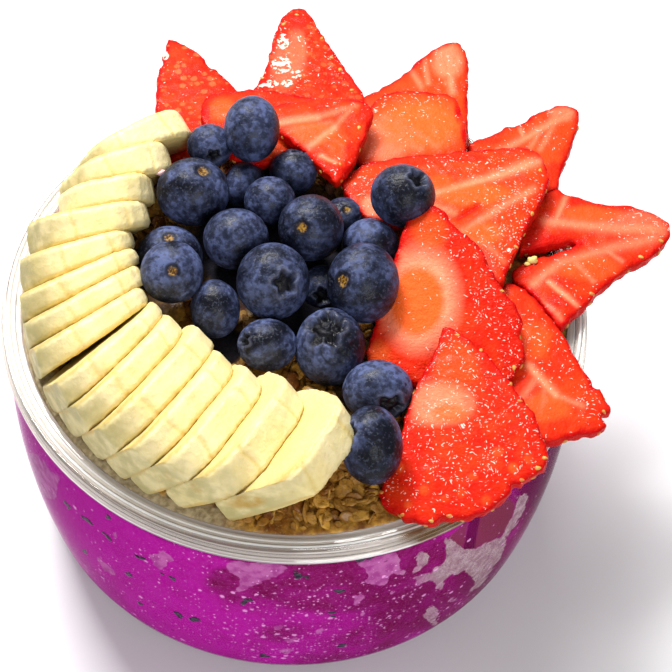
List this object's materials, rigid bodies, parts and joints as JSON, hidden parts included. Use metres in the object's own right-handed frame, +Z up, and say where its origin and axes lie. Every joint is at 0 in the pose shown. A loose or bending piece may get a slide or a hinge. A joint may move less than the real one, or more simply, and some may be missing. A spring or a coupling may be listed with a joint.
{
  "type": "fruit smoothie bowl",
  "caption": "Clear round tub of frozen magenta fruit puree under granola, banana slices, blueberries and strawberry slices that overhang the rim; a ready-made dessert on a flat base.",
  "frame": {"origin": "centre of the tub's flat underside, which it stands on", "axes": "+Z up along the tub's axis; the fan of banana lies towards -X and -Y, the strawberry slices overhang the rim towards +X and +Y; the picture looks in from -Y"},
  "size_m": [0.173, 0.177, 0.105],
  "materials": {
    "clear_plastic": "clear, glossy, thin moulded plastic",
    "puree": "frozen fruit puree, smooth with frost and small black seeds",
    "granola": "toasted oat flakes, rough",
    "banana": "moist fruit flesh",
    "strawberry": "wet cut fruit, glossy",
    "blueberry": "dusty waxy bloom over dark skin"
  },
  "bodies": {
    "root": {"tub": "clear_plastic", "puree": "puree", "granola": "granola", "banana_01": "banana", "banana_02": "banana", "banana_03": "banana", "banana_04": "banana", "banana_05": "banana", "banana_06": "banana", "banana_07": "banana", "banana_08": "banana", "banana_09": "banana", "banana_10": "banana", "banana_11": "banana", "banana_12": "banana", "banana_13": "banana", "banana_14": "banana", "banana_15": "banana", "strawberry_east_back": "strawberry", "strawberry_north": "strawberry", "strawberry_north_west": "strawberry", "strawberry_north_east": "strawberry", "strawberry_east": "strawberry", "strawberry_right_low": "strawberry", "strawberry_back_middle": "strawberry", "strawberry_back_left": "strawberry", "strawberry_back_small": "strawberry", "strawberry_right_wide": "strawberry", "strawberry_right_dome": "strawberry", "strawberry_front_right": "strawberry", "blueberry_back_top": "blueberry", "blueberry_back_left_small": "blueberry", "blueberry_left_large": "blueberry", "blueberry_back_low": "blueberry", "blueberry_upper_middle": "blueberry", "blueberry_back_crowned": "blueberry", "blueberry_middle_left": "blueberry", "blueberry_middle_back": "blueberry", "blueberry_back_right_small": "blueberry", "blueberry_centre": "blueberry", "blueberry_left_behind": "blueberry", "blueberry_left_front": "blueberry", "blueberry_lower_left": "blueberry", "blueberry_right_back": "blueberry", "blueberry_right_large": "blueberry", "blueberry_on_strawberry": "blueberry", "blueberry_between": "blueberry", "blueberry_front_left": "blueberry", "blueberry_front_large": "blueberry", "blueberry_front_behind": "blueberry", "blueberry_front_lowest": "blueberry"}
  },
  "joints": []
}
